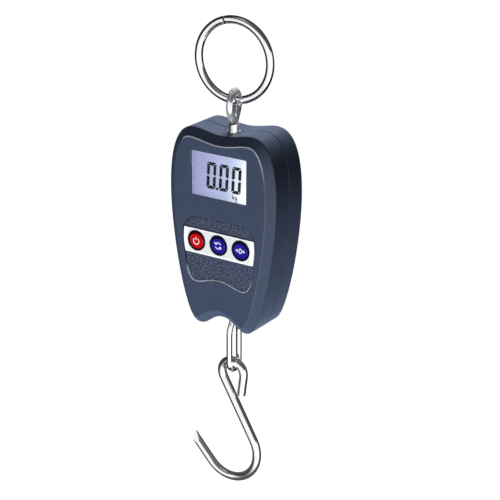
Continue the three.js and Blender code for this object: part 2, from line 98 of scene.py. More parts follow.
WINDOW_X, WINDOW_Z, WINDOW_CENTRE, WINDOW_OPENING = 20.3, 14.2, 31.6, 0.2
FLANGE_X, FLANGE_Z, FLANGE_BACK = 22.3, 16.0, 1.1
GLASS_X, GLASS_Z, GLASS_THICKNESS, GLASS_BEHIND = 22.4, 16.2, 2.2, 1.2
GLASS_FRONT = INNER_FRONT + GLASS_BEHIND
DIGIT_WIDTH, DIGIT_HEIGHT, SEGMENT, SEGMENT_GAP, SLANT = 6.9, 17.6, 2.15, 0.14, 0.055
DIGIT_BASE, DIGIT_PITCH, LAST_DIGIT = 22.3, 9.4, 11.7
GLOW_TOP, GLOW_BOTTOM = WINDOW_CENTRE + 16.0, WINDOW_CENTRE - 16.0
UNIT_X, UNIT_Z, UNIT_STROKE = 8.6, 18.5, 0.45
INK_FRONT, INK_BACK = GLASS_FRONT - 0.05, GLASS_FRONT - 0.002

BUTTON_PITCH, BUTTON_Z, BUTTON_RADIUS = 16.84, -13.3, 5.4
CAP_FRONT, CAP_FLANGE, CAP_STEM, CAP_STEM_BACK = FRONT - 0.9, 6.2, 1.5, -12.8
ICON_STROKE, ICON_FRONT, ICON_BACK = 0.55, CAP_FRONT + 0.2, CAP_FRONT + 0.33
PAD_DEPTH, PANEL_HOLE, PANEL_TOP, PANEL_BOTTOM, PANEL_HALF = 0.6, 5.8, -5.3, -21.8, 26.8
# Limits that hold the thumb recess and its edge: its lowest and highest Z, and half its width above and below
# the height at which it narrows.
PAD_LOW, PAD_HIGH, PAD_HALF_HIGH, PAD_HALF_LOW, PAD_NARROWS = -41.5, 3.2, 28.0, 25.9, -28.0
# Right of LEFT_RIM the rim of the face carries a painted highlight.
LEFT_RIM = -27.0  # the rim of the face has its own material only to the right of this
# The size and front of the black ring of painted shade round each button.
SHADE_RING_RADIUS, SHADE_RING_FRONT = PANEL_HOLE + 0.95, FRONT - 0.58

CASE_SCREWS = [(-31.8, 40), (31.8, 40), (-24.5, -44), (24.5, -44)]
SCREW_SHANK, SCREW_HEAD, SCREW_FRONT, SCREW_SEAT, SCREW_BACK = 1.4, 2.7, -8.0, 7.5, 9.6
CROSS_LONG, CROSS_SHORT, CROSS_FLOOR = 1.5, 0.28, 8.3
BORE_SHANK, BORE_HEAD, BORE_FRONT, BORE_SEAT = 1.7, 3.0, 3.0, 7.4
BOSS_RADIUS, BOSS_FRONT = 4.2, 4.4
BAY = dict(half=17.4, top=-8.6, bottom=-58.2, floor=4.6, wall=1.0)
LEDGE_BACKING = dict(half=21, top=-5.2, bottom=-61.9, front=13.8)
CELL = dict(radius=5.2, length=44.5, nub=1.0, nub_radius=1.9, pitch=11.4, depth=10.1)
SPRING = dict(wire=0.35, turns=2.5, wide=3.6, narrow=2.0, points=140)
COVER = dict(half=19.3, top=-6.6, bottom=-60.2, front=15.75, back=17.3)
GRIP = dict(count=5, pitch=2.2, below_top=8.0, half=9.0, half_height=0.5, depth=0.45)
LABEL = dict(half=21.0, bottom=8.0, top=38.0, radius=2.0, gap=0.2)


def to_row(points):
    """Points in millimetres in the housing's frame, as metres in the row frame."""
    return (np.asarray(points, float) - (0, 0, HANG_HEIGHT)) * 0.001


def row_height(z):
    """A height in millimetres in the housing's frame, as metres in the row frame."""
    return to_row([(0, 0, z)])[0][2]


def from_row(point):
    """A point in metres in the row frame, as millimetres in the housing's frame."""
    return np.array(point) * 1000 + (0, 0, HANG_HEIGHT)


# ---------------- flat curves


def bezier(p0, p1, p2, p3, count):
    """Points along a cubic Bezier, without its last one."""
    t = np.linspace(0, 1, count, endpoint=False)[:, None]
    p0, p1, p2, p3 = (np.array(p, float) for p in (p0, p1, p2, p3))
    return (1 - t) ** 3 * p0 + 3 * (1 - t) ** 2 * t * p1 + 3 * (1 - t) * t**2 * p2 + t**3 * p3


def arc(centre, radius, start, end, count):
    t = np.linspace(start, end, count)
    return np.c_[centre[0] + radius * np.cos(t), centre[1] + radius * np.sin(t)]


def evenly(points, step):
    """The same path with points about a step apart."""
    points = np.asarray(points, float)
    along = np.r_[0, np.cumsum(np.linalg.norm(np.diff(points, axis=0), axis=1))]
    places = np.linspace(0, along[-1], max(2, round(along[-1] / step) + 1))
    return np.c_[tuple(np.interp(places, along, points[:, i]) for i in range(points.shape[1]))]


def mirrored_outline(start, curves, count):
    """Mirrors a right-hand half, drawn from top centre to bottom centre, into a closed outline."""
    starts = [start, *(c[4:] for c in curves)]
    right = np.vstack([bezier(s, c[:2], c[2:4], c[4:], count) for s, c in zip(starts, curves)])
    bottom = np.array([curves[-1][4:]], float)
    left = right[:0:-1] * (-1, 1)
    return np.vstack([right, bottom, left])


def rounded_rectangle(half_x, z0, z1, radius, count=10):
    quarter = math.pi / 2
    corners = [((half_x - radius, z1 - radius), quarter), ((half_x - radius, z0 + radius), 0),
               ((-half_x + radius, z0 + radius), -quarter), ((-half_x + radius, z1 - radius), 2 * quarter)]
    outline = np.vstack([arc(c, radius, start, start - quarter, count) for c, start in corners])
    apart = np.linalg.norm(outline - np.roll(outline, 1, axis=0), axis=1) > 1e-6
    return outline[apart]


def inset(outline, distance):
    """An outline, drawn clockwise, moved inwards square to its edges."""
    if not distance:
        return outline
    before = outline - np.roll(outline, 1, axis=0)
    after = np.roll(outline, -1, axis=0) - outline
    before /= np.linalg.norm(before, axis=1)[:, None]
    after /= np.linalg.norm(after, axis=1)[:, None]
    inward = np.c_[(before + after)[:, 1], -(before + after)[:, 0]]
    inward /= np.linalg.norm(inward, axis=1)[:, None]
    mitre = np.einsum("ij,ij->i", inward, np.c_[after[:, 1], -after[:, 0]])
    return outline + inward * (distance / mitre)[:, None]


def filleted(corners, steps):
    """A path through (a, b, radius) corners, each turned into a fillet of its radius."""
    corners = [np.array(c, float) for c in corners]
    path = [corners[0][:2]]
    for before, corner, after in zip(corners, corners[1:], corners[2:]):
        radius = corner[2]
        u = (before[:2] - corner[:2]) / np.linalg.norm(before[:2] - corner[:2])
        v = (after[:2] - corner[:2]) / np.linalg.norm(after[:2] - corner[:2])
        half = math.acos(np.clip(u @ v, -1, 1)) / 2
        if radius <= 0 or half > math.pi / 2 - 0.01:
            path.append(corner[:2])
            continue
        run = radius / math.tan(half)
        centre = corner[:2] + (u + v) / np.linalg.norm(u + v) * radius / math.sin(half)
        first, last = corner[:2] + u * run - centre, corner[:2] + v * run - centre
        turn = math.atan2(first[0] * last[1] - first[1] * last[0], first @ last)
        for k in range(steps + 1):
            c, s = math.cos(turn * k / steps), math.sin(turn * k / steps)
            path.append(centre + (c * first[0] - s * first[1], s * first[0] + c * first[1]))
    path.append(corners[-1][:2])
    return np.array(path)


# ---------------- solids, in the housing's frame


def new_mesh(points, faces):
    """A mesh in the row frame, with its faces turned outwards."""
    mesh = bpy.data.meshes.new("solid")
    mesh.from_pydata(to_row(points).tolist(), [], faces)
    made = bmesh.new()
    made.from_mesh(mesh)
    bmesh.ops.recalc_face_normals(made, faces=made.faces)
    bmesh.ops.triangulate(made, faces=[f for f in made.faces if len(f.verts) > 4])
    made.to_mesh(mesh)
    made.free()
    return mesh


def rings_to_mesh(rings):
    """Joins equal rings of points into a solid, capped at both ends."""
    count, around = len(rings), len(rings[0])
    faces = []
    for i in range(count - 1):
        a, b = i * around, (i + 1) * around
        faces += [(a + j, a + (j + 1) % around, b + (j + 1) % around, b + j) for j in range(around)]
    faces += [tuple(range(around)), tuple(range((count - 1) * around, count * around))]
    return new_mesh(np.vstack(rings), faces)


def at_depth(outline, y):
    """A flat outline in XZ as points at one depth."""
    return np.c_[outline[:, 0], np.full(len(outline), y), outline[:, 1]]


def loft(outline, profile):
    """A flat outline in XZ carried along Y: profile holds (inset, y) pairs."""
    return rings_to_mesh([at_depth(inset(outline, distance), y) for distance, y in profile])


def lathe(profile, x=0.0, z=0.0, sides=64, upright=False):
    """(radius, height) pairs turned about a line along Y at (x, z) or, if upright, along Z at (x, y = z)."""
    turns = np.linspace(0, 2 * np.pi, sides, endpoint=False)
    rings = []
    for radius, height in profile:
        a, b = max(radius, 0.001) * np.cos(turns), max(radius, 0.001) * np.sin(turns)
        level = np.full(sides, float(height))
        rings.append(np.c_[x + a, z + b, level] if upright else np.c_[x + a, level, z + b])
    return rings_to_mesh(rings)


def block(xs, ys, zs, place=None):
    """A block between three pairs of coordinates, put in its place by a matrix where one is given."""
    points = [Vector((x, y, z)) for x in xs for y in ys for z in zs]
    if place:
        points = [place @ p for p in points]
    faces = [(0, 1, 3, 2), (4, 6, 7, 5), (0, 4, 5, 1), (2, 3, 7, 6), (0, 2, 6, 4), (1, 5, 7, 3)]
    return new_mesh(points, faces)


def bar(path, radius, sides, across=None, ends=0.0):
    """A round bar along a path whose bends lie square to across, with its ends rounded over a length."""
    path = np.asarray(path, float)
    if ends:
        run = np.r_[0, np.cumsum(np.linalg.norm(np.diff(path, axis=0), axis=1))]
        to_end = np.minimum(run, run[-1] - run)
        path = path[(to_end == 0) | (to_end > ends)]
    tangent = np.gradient(path, axis=0)
    tangent /= np.linalg.norm(tangent, axis=1)[:, None]
    if across is None:
        askew = (0.3, 0.5, 0.81)
        side = np.cross(tangent[0], askew)
        first_axis = []
        for t in tangent:
            side = side - (side @ t) * t
            side /= np.linalg.norm(side)
            first_axis.append(side)
        first_axis = np.array(first_axis)
    else:
        first_axis = np.tile(np.array(across, float), (len(path), 1))
    second_axis = np.cross(tangent, first_axis)
    turns = np.linspace(0, 2 * np.pi, sides, endpoint=False)

    def section(i, scale=1.0, shift=0.0):
        a, b = radius * scale * np.cos(turns)[:, None], radius * scale * np.sin(turns)[:, None]
        return path[i] + tangent[i] * shift + a * first_axis[i] + b * second_axis[i]

    rings = [section(i) for i in range(len(path))]
    if ends:
        share = ends / radius
        first = [section(0, 1 - share * (1 - math.sin(t)), ends * (1 - math.cos(t))) for t in (0, 0.5, 1.0)]
        last = [section(-1, 1 - share * (1 - math.sin(t)), -ends * (1 - math.cos(t))) for t in (1.0, 0.5, 0)]
        rings = first + rings[1:-1] + last
    return rings_to_mesh(rings)


def in_scene(name, data):
    o = bpy.data.objects.new(name, data)
    bpy.context.scene.collection.objects.link(o)
    return o


def evaluated(o):
    """The mesh that an object's modifiers make of it. The object itself goes."""
    graph = bpy.context.evaluated_depsgraph_get()
    result = bpy.data.meshes.new_from_object(o.evaluated_get(graph))
    bpy.data.objects.remove(o)
    return result


def boolean(operation, first, *others):
    """Joins or cuts meshes exactly, and returns the result as a mesh."""
    base = in_scene("base", first)
    tools = [in_scene("tool", other) for other in others]
    for tool in tools:
        step = base.modifiers.new("step", "BOOLEAN")
        step.operation = operation
        step.solver = "EXACT"
        step.object = tool
    result = evaluated(base)
    for tool in tools:
        bpy.data.objects.remove(tool)
    return result


def cut(first, *others):
    return boolean("DIFFERENCE", first, *others)


def join(first, *others):
    return boolean("UNION", first, *others)


def together(*meshes):
    """Several meshes as one, left overlapping."""
    made = bmesh.new()
    for mesh in meshes:
        made.from_mesh(mesh)
    result = bpy.data.meshes.new("together")
    made.to_mesh(result)
    made.free()
    return result


def apply_modifier(mesh, kind, **settings):
    """Runs one modifier on a mesh and returns the result."""
    o = in_scene("base", mesh)
    modifier = o.modifiers.new("step", kind)
    for name, value in settings.items():
        setattr(modifier, name, value)
    return evaluated(o)


def turned(mesh, degrees):
    """A mesh turned about the vertical axis."""
    mesh.transform(Matrix.Rotation(math.radians(degrees), 4, "Z"))
    return mesh


def piece(name, mesh, look, nodes=(), body="housing", sharp=32):
    """Puts a mesh in the scene as one piece that rides on a body and stands for CAD nodes."""
    o = in_scene(name, mesh)
    mesh.materials.clear()
    mesh.materials.append(looks[look])
    mesh.polygons.foreach_set("use_smooth", [True] * len(mesh.polygons))
    mesh.set_sharp_from_angle(angle=math.radians(sharp))
    weighted = o.modifiers.new("weighted", "WEIGHTED_NORMAL")
    weighted.keep_sharp = True
    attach(o, body)
    if nodes:
        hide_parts(*nodes)
    return o


# ---------------- materials


class Nodes:
    """A node tree, with a shorthand for its nodes."""

    def __init__(self, tree):
        self.tree = tree

    def feed(self, socket, value):
        """Links an output to a socket, or gives the socket a plain value."""
        if isinstance(value, bpy.types.NodeSocket):
            self.tree.links.new(value, socket)
        else:
            socket.default_value = value

    def node(self, kind, settings=None, **inputs):
        made = self.tree.nodes.new(kind)
        for name, value in (settings or {}).items():
            setattr(made, name, value)
        for name, value in inputs.items():
            self.feed(made.inputs[name.replace("_", " ")], value)
        return made

    def maths(self, operation, *values, kind="ShaderNodeMath"):
        made = self.node(kind, dict(operation=operation))
        for value, socket in zip(values, made.inputs):
            self.feed(socket, value)
        return made.outputs["Value"]

    def remap(self, value, low, high, to_low=0.0, to_high=1.0, clamp=True):
        made = self.node("ShaderNodeMapRange", dict(clamp=clamp), Value=value, From_Min=low, From_Max=high,
                         To_Min=to_low, To_Max=to_high)
        return made.outputs["Result"]

    def ramp(self, factor, stops):
        """Colours that follow a factor. stops holds (factor, colour) pairs."""
        made = self.node("ShaderNodeValToRGB", Fac=factor)
        elements = made.color_ramp.elements
        while len(elements) < len(stops):
            elements.new(0.5)
        for element, (position, colour) in zip(elements, stops):
            element.position = position
            element.color = (*colour, 1.0)
        return made.outputs["Color"]


class Surface(Nodes):
    """A Principled material, whose colour, roughness and grain come from procedural nodes."""

    def __init__(self, name, **sockets):
        self.material = bpy.data.materials.new(name)
        self.material.use_nodes = True
        super().__init__(self.material.node_tree)
        self.shader = self.tree.nodes["Principled BSDF"]
        for socket, value in sockets.items():
            self.feed(self.shader.inputs[socket.replace("_", " ")], value)
        self.place = self.node("ShaderNodeTexCoord").outputs["Object"]

    def noise(self, scale, detail=3.0, stretch=None):
        """Noise at a scale per metre, drawn out along an axis where stretch is given."""
        place = self.place
        if stretch:
            place = self.node("ShaderNodeMapping", Vector=place, Scale=stretch).outputs["Vector"]
        return self.node("ShaderNodeTexNoise", Vector=place, Scale=scale, Detail=detail).outputs["Fac"]

    def along(self, axis):
        """The place along one axis, in metres."""
        return self.node("ShaderNodeSeparateXYZ", Vector=self.place).outputs[axis]

    def colour(self, factor, stops, socket="Base Color"):
        self.feed(self.shader.inputs[socket], self.ramp(factor, stops))

    def spread(self, noise, low, high):
        """Roughness that follows noise, whose values lie mostly between 0.3 and 0.7."""
        self.feed(self.shader.inputs["Roughness"], self.remap(noise, 0.3, 0.7, low, high))

    def bump(self, height, strength, distance):
        made = self.node("ShaderNodeBump", Height=height, Strength=strength, Distance=distance)
        self.feed(self.shader.inputs["Normal"], made.outputs["Normal"])


def mottled(name, dark, light, scale, roughness, grain=None, stretch=None, **sockets):
    """A surface whose colour and roughness wander a little, with a fine grain where one is given."""
    made = Surface(name, **sockets)
    made.colour(made.noise(scale, stretch=stretch), [(0.3, dark), (0.7, light)])
    made.spread(made.noise(scale * 2.3, stretch=stretch), *roughness)
    if grain:
        grain_scale, strength, distance = grain
        made.bump(made.noise(grain_scale, 2.0, stretch=stretch), strength, distance)
    return made.material


def display_material():
    """The lit panel: lavender at its left, nearly white at its right, with the backlight's unevenness."""
    made = Surface("display", Base_Color=(0.02, 0.02, 0.03, 1), Roughness=0.25, Emission_Strength=1.0)
    half = GLASS_X / 1000
    across = made.remap(made.along("X"), -half, half)
    down = made.remap(made.along("Z"), row_height(GLOW_TOP), row_height(GLOW_BOTTOM), -0.05, 0.05)
    uneven = made.remap(made.noise(60), 0.3, 0.7, -0.03, 0.03)
    glow = made.maths("ADD", made.maths("ADD", across, down), uneven)
    made.colour(glow, [(0.0, (0.27, 0.29, 0.52)), (0.3, (0.34, 0.37, 0.62)), (0.62, (0.43, 0.50, 0.72)),
                       (0.9, (0.93, 0.97, 1.0))], "Emission Color")
    return made.material


def painted_by_height(name, stops, roughness, grain_strength, **sockets):
    """Housing plastic with light and shade painted into its colour, which changes with height. stops holds
    (height, colour) pairs, upwards.
    """
    made = Surface(name, **sockets)
    low, high = stops[0][0], stops[-1][0]
    up = made.remap(made.along("Z"), row_height(low), row_height(high))
    made.colour(up, [((z - low) / (high - low), colour) for z, colour in stops])
    made.spread(made.noise(2000), *roughness)
    made.bump(made.noise(1600, 2.0), grain_strength, 0.00012)
    return made.material


def panel_material():
    """Satin silver, whiter along its ends and its upper and lower edges."""
    made = Surface("panel", Specular_IOR_Level=0.6)
    middle = row_height((PANEL_TOP + PANEL_BOTTOM) / 2)
    half_height = (PANEL_TOP - PANEL_BOTTOM) / 2000
    across = made.remap(made.along("X"), 0, PANEL_HALF / 1000, clamp=False)
    up = made.remap(made.along("Z"), middle, middle + half_height, clamp=False)
    edge = made.maths("MAXIMUM", made.maths("ABSOLUTE", across), made.maths("ABSOLUTE", up))
    made.colour(edge, [(0.0, (0.70, 0.71, 0.72)), (0.84, (0.72, 0.73, 0.74)), (0.93, (0.93, 0.95, 0.98))])
    made.spread(made.noise(600), 0.28, 0.38)
    made.bump(made.noise(2600, 2.0), 0.12, 0.00003)
    return made.material


def etched_light_and_shade(name, dark, light, scale, roughness):
    """Housing plastic with a coarse etched texture whose colour follows it: painted shade in its hollows and
    painted highlight on its tops.
    """
    made = Surface(name, Specular_IOR_Level=0.3)
    texture = made.noise(scale, 1.0)
    made.colour(texture, [(0.36, dark), (0.64, light)])
    made.spread(made.noise(scale * 2), *roughness)
    made.bump(texture, 0.6, 0.0003)
    return made.material


# Each mottled look: its name, its two colours, the scale of the mottling, the range of roughness, the grain
# (scale, strength, height) where it has one, and other settings.
POLISH, METAL = (300, 0.05, 0.00005), dict(Metallic=1.0)
MOTTLED = [
    ("housing", (0.034, 0.047, 0.082), (0.044, 0.060, 0.102), 900, (0.40, 0.52), (1600, 0.5, 0.00012),
     dict(Specular_IOR_Level=0.3)),
    ("steel", (0.92, 0.92, 0.93), (0.98, 0.98, 0.98), 120, (0.04, 0.09), POLISH, METAL),
    ("hook_steel", (0.92, 0.92, 0.93), (0.98, 0.98, 0.98), 120, (0.04, 0.09), POLISH, dict(Metallic=0.96)),
    ("satin_steel", (0.90, 0.91, 0.96), (0.97, 0.98, 1.0), 900, (0.03, 0.08), (1400, 0.12, 0.00005),
     dict(Metallic=0.7)),
    ("plated", (0.50, 0.51, 0.53), (0.60, 0.61, 0.63), 400, (0.28, 0.4), (2000, 0.2, 0.00005), METAL),
    ("aluminium", (0.58, 0.60, 0.62), (0.66, 0.68, 0.70), 300, (0.3, 0.45), (900, 0.3, 0.00005),
     dict(Metallic=1.0, stretch=(1, 1, 12))),
    ("label", (0.14, 0.143, 0.148), (0.16, 0.163, 0.168), 1500, (0.3, 0.42), (1500, 0.1, 0.00003), {}),
    ("red", (0.42, 0.002, 0.004), (0.52, 0.004, 0.007), 400, (0.10, 0.16), (900, 0.05, 0.00003),
     dict(Specular_IOR_Level=0.12)),
    ("blue", (0.010, 0.007, 0.22), (0.016, 0.012, 0.30), 400, (0.10, 0.16), (900, 0.05, 0.00003),
     dict(Specular_IOR_Level=0.12)),
    # Black for painted shade: the ring's slit and the rings round the buttons.
    ("painted_shade_black", (0.002, 0.002, 0.004), (0.004, 0.004, 0.007), 500, (0.3, 0.4), None,
     dict(Specular_IOR_Level=0.1)),
    ("print", (0.80, 0.80, 0.82), (0.90, 0.90, 0.92), 900, (0.35, 0.45), None, {}),
    ("segments", (0.001, 0.001, 0.002), (0.004, 0.004, 0.006), 700, (0.5, 0.6), None,
     dict(Specular_IOR_Level=0.05)),
    ("white_plastic", (0.78, 0.78, 0.75), (0.88, 0.88, 0.85), 300, (0.45, 0.6), (1200, 0.1, 0.00005), {}),
    ("rubber", (0.022, 0.022, 0.024), (0.036, 0.036, 0.038), 700, (0.6, 0.8), (1800, 0.3, 0.00005), {}),
    ("insulation", (0.38, 0.015, 0.015), (0.5, 0.024, 0.022), 500, (0.35, 0.5), None, {}),
    ("board", (0.016, 0.12, 0.042), (0.024, 0.16, 0.058), 700, (0.3, 0.45), (500, 0.2, 0.00004), {}),
    ("black_plastic", (0.010, 0.010, 0.012), (0.018, 0.018, 0.021), 600, (0.4, 0.55), (1500, 0.2, 0.00005),
     {}),
    ("battery_jacket", (0.045, 0.05, 0.065), (0.06, 0.066, 0.085), 200, (0.2, 0.3), (900, 0.05, 0.00003), {}),
    ("clear", (0.96, 0.97, 1.0), (1.0, 1.0, 1.0), 200, (0.0, 0.03), None,
     dict(Transmission_Weight=1.0, IOR=1.2)),
]


def make_materials():
    """Every look by its name."""
    made = {name: mottled(name, *surface, **others) for name, *surface, others in MOTTLED}
    # The rim of the face: a painted highlight that grows towards its top.
    made["rim_painted_highlight"] = painted_by_height("rim_painted_highlight", [(-70, (0.040, 0.055, 0.095)), (33, (0.040, 0.055, 0.095)),
                                                  (43, (0.26, 0.29, 0.35)), (50, (0.42, 0.45, 0.52)),
                                                  (62, (0.42, 0.45, 0.52))],
                                 (0.3, 0.4), 0.2, Specular_IOR_Level=0.5)
    made["pad"] = etched_light_and_shade("pad", (0.012, 0.016, 0.032), (0.082, 0.100, 0.160), 1000, (0.40, 0.52))
    # The edge of the thumb recess: a painted highlight along its bottom and painted shade along its top.
    made["pad_edge_light_and_shade"] = painted_by_height("pad_edge_light_and_shade", [(-42, (0.85, 0.90, 1.0)), (-36, (0.70, 0.75, 0.85)),
                                          (-30, (0.016, 0.020, 0.034)), (4, (0.004, 0.005, 0.010))],
                             (0.4, 0.5), 0.2, Specular_IOR_Level=0.1)
    made["panel"] = panel_material()
    made["display"] = display_material()
    return made


looks = make_materials()

# ---------------- steelwork


def flat_to_xz(path):
    return np.c_[path[:, 0], np.zeros(len(path)), path[:, 1]]


def flat_to_yz(path):
    return np.c_[np.zeros(len(path)), path[:, 0], path[:, 1]]


def make_ring():
    half_slit = RING_SLIT / RING_RADIUS / 2
    start = math.radians(RING_SLIT_AT)
    path = arc((0, RING_CENTRE), RING_RADIUS, start + half_slit, start - half_slit + 2 * math.pi, 220)
    return turned(bar(flat_to_xz(path), RING_WIRE, 32, (0, 1, 0), ends=0.35), RING_TURN)


def paint_slit_shade(ring):
    """Gives the bar's two end faces, which look at each other across the slit, a black material: painted
    shade in the gap.
    """
    ring.data.materials.append(looks["painted_shade_black"])
    slit_at = math.radians(RING_SLIT_AT)
    slit = Vector((math.cos(slit_at), 0, math.sin(slit_at)))
    slit.rotate(Matrix.Rotation(math.radians(RING_TURN), 3, "Z"))
    half_slit = 0.5 * RING_SLIT / RING_RADIUS + SLIT_PAINT_MARGIN
    for face in ring.data.polygons:
        from_middle = Vector(from_row(face.center) - (0, 0, RING_CENTRE))
        in_bar = (from_middle - slit * RING_RADIUS).length < 3
        if in_bar and from_middle.normalized().angle(slit) < half_slit:
            face.material_index = 1


def make_eye(wire, centre, shoulder, radius, shank_top, shank_end, turn, up, collar=None):
    """The eye's bar and its shank, run together with a smooth web between the limbs where they part.

    up is 1 where the eye stands above its shank and -1 where it hangs below.
    """
    foot = shank_top - up * 2
    spread = shank_top + 0.45 * (shoulder - shank_top)
    limb = bezier((-1, foot), (-1.5, shank_top + up * 3), (-radius, spread), (-radius, shoulder), 40)
    middle = up * math.pi / 2
    crown = arc((0, centre), radius, math.pi if up > 0 else -math.pi, middle, 40)
    half = np.vstack([limb, crown])
    path = evenly(np.vstack([half, half[-2::-1] * (-1, 1)]), 0.5)
    reach = abs(shank_top - shank_end)
    shank = [(0, 0, 0), (SHANK - 0.5, 0, 0), (SHANK, 0.5, 0.4), (SHANK, reach - 1.6, 2.5),
             (1.2, reach + 1.4, 0.5), (0, reach + 1.4, 0)]
    profile = [(r, shank_end + up * z) for r, z in filleted(shank, 4)]
    solid = together(bar(flat_to_yz(path), wire, 24, (1, 0, 0)), lathe(profile, sides=48, upright=True))
    solid = apply_modifier(solid, "REMESH", mode="VOXEL", voxel_size=0.00026, adaptivity=0.0)
    solid = apply_modifier(solid, "SMOOTH", factor=0.5, iterations=14)
    if collar:
        low, high, size = collar["low"], collar["high"], collar["radius"]
        edge = filleted([(0.5, low, 0), (size, low, 0.2), (size, high, 0.35), (0.5, high, 0)], 4)
        solid = join(solid, lathe(edge, sides=64, upright=True))
    return turned(solid, turn)


def make_hook():
    """The small loop, the straight part, the large bend and the arm, whose tip is ground to a point."""
    arm = (math.sin(HOOK_ARM_ANGLE), -math.cos(HOOK_ARM_ANGLE))
    loop = arc(HOOK_LOOP, HOOK_LOOP_RADIUS, -0.12, math.pi + HOOK_LEAN, 90)
    bend = arc(HOOK_BEND, HOOK_BEND_RADIUS, HOOK_LEAN, HOOK_ARM_ANGLE, 90)
    end = bend[-1] + np.array(arm) * HOOK_ARM
    path = evenly(np.vstack([[HOOK_START], loop, bend, [end]]), 0.6)
    for _ in range(6):
        path[1:-1] = (path[:-2] + 2 * path[1:-1] + path[2:]) / 4
    solid = bar(flat_to_xz(path), HOOK_WIRE, 32, (0, 1, 0), ends=0.4)
    tip = bend[-1] + np.array(arm) * (HOOK_ARM - HOOK_WIRE * 0.9)
    ground_at = Matrix.Translation(Vector((tip[0], 0, tip[1])) + HOOK_FACET * HOOK_FACET_OFFSET)
    ground = ground_at @ HOOK_FACET.to_track_quat("X", "Z").to_matrix().to_4x4()
    return cut(solid, block((tip[0] - 20, tip[0]), (-9, 9), (tip[1] - 20, tip[1] + 20)),
               block((0, 12), (-12, 12), (-12, 12), ground))


ring = piece("ring", make_ring(), "steel", ["hanging_ring"], body="ring")
paint_slit_shade(ring)
top_eye = make_eye(**TOP_EYE, collar=TOP_COLLAR)
piece("top_eye", top_eye, "satin_steel", ["top_eye_bolt"], sharp=50)
piece("bottom_eye", make_eye(**BOTTOM_EYE), "steel", ["bottom_eye_bolt"], sharp=50)
piece("s_hook", make_hook(), "hook_steel", ["hook"], body="hook")

# ---------------- shells

HOUSING = mirrored_outline((0, 57.5), [
    (8, 57.5, 15, 60.4, 21.4, 60.4),
    (32, 60.4, 40.1, 50, 40.1, 18),
    (40.1, -4, 35, -38, 28.5, -57),
    (25.5, -66, 22.5, -71.3, 17.5, -71.3),
    (11, -71.3, 8, -63.7, 0, -63.7),
], 22)
PAD = mirrored_outline((0, 2.5), [
    (8, 2.5, 12, 2.5, 16.5, 2.5),
    (22, 2.5, 25.4, -2.4, 27, -5.2),
    (27.7, -10.4, 27.4, -16.3, 26, -23),
    (25.2, -30, 24.4, -41, 17.6, -41),
    (13, -41, 8, -37.5, 0, -37.5),
], 14)


def round_window(half_x, half_z, radius):
    """A rounded rectangle about the middle of the display."""
    return rounded_rectangle(half_x, WINDOW_CENTRE - half_z, WINDOW_CENTRE + half_z, radius)


def hole(radius, front, back, x, z, flare=0.25, sides=64):
    """A cutter for a round hole that opens out by flare at the front face."""
    profile = [(radius + flare + BEYOND, front - BEYOND), (radius + flare, front),
               (radius + 0.3 * flare, front + 0.3 * flare), (radius, front + flare), (radius, back)]
    return lathe(profile, x, z, sides)


def make_shank_holes():
    """Cutters for the holes that the two eye bolts pass through, above and below."""
    return [lathe([(SHANK_HOLE, low), (SHANK_HOLE, high)], sides=48, upright=True)
            for low, high in ((40, 70), (-75, -40))]


def make_front_shell():
    edge = PARTING - GAP / 2
    outside = filleted([(PARTING_GROOVE, edge, 0), (0, edge - PARTING_GROOVE, 0.2),
                        (0, FRONT + FRONT_CHAMFER, 1.3), (FRONT_INSET, FRONT, 1.4),
                        (FRONT_INSET + 0.5, FRONT, 0)], 6)
    inside = [(WALL, edge + 2), (WALL, INNER_FRONT + 3.6), (WALL + 3.2, INNER_FRONT)]
    opening = round_window(WINDOW_X + WINDOW_OPENING, WINDOW_Z + WINDOW_OPENING, 0.6)
    window = [(-1.2, FRONT - BEYOND), (-0.3, FRONT), (-0.09, FRONT + 0.09), (0, FRONT + 0.3),
              (0, INNER_FRONT + BEYOND)]
    pad = [(-1.2, FRONT - BEYOND), (-0.28, FRONT), (-0.08, FRONT + 0.08), (0, FRONT + 0.25),
           (0.04, FRONT + 0.45), (0.2, FRONT + PAD_DEPTH)]
    buttons = [hole(BUTTON_RADIUS + 0.25, FRONT + PAD_DEPTH, INNER_FRONT + BEYOND, i * BUTTON_PITCH, BUTTON_Z)
               for i in (-1, 0, 1)]
    return cut(loft(HOUSING, outside), loft(HOUSING, inside), loft(opening, window), loft(PAD, pad), *buttons,
               *make_shank_holes())


def paint_front_shell(shell):
    """Gives the rim of the face a painted highlight, the floor of the thumb recess its etched look with light
    and shade painted in, and the recess's edge a painted highlight along its bottom and painted shade along
    its top.
    """
    for look in ("rim_painted_highlight", "pad", "pad_edge_light_and_shade"):
        shell.data.materials.append(looks[look])
    for face in shell.data.polygons:
        x, y, z = from_row(face.center)
        facing = -face.normal.y
        if y > FRONT + PAD_DEPTH + 0.05:
            continue
        half = PAD_HALF_HIGH if z > PAD_NARROWS else PAD_HALF_LOW
        in_pad = abs(x) < half and PAD_LOW < z < PAD_HIGH
        if in_pad and facing > 0.995 and y > FRONT + 0.5:
            face.material_index = 2
        elif in_pad and facing < 0.995:
            face.material_index = 3
        elif 0.80 < facing < 0.995 and x > LEFT_RIM:
            face.material_index = 1


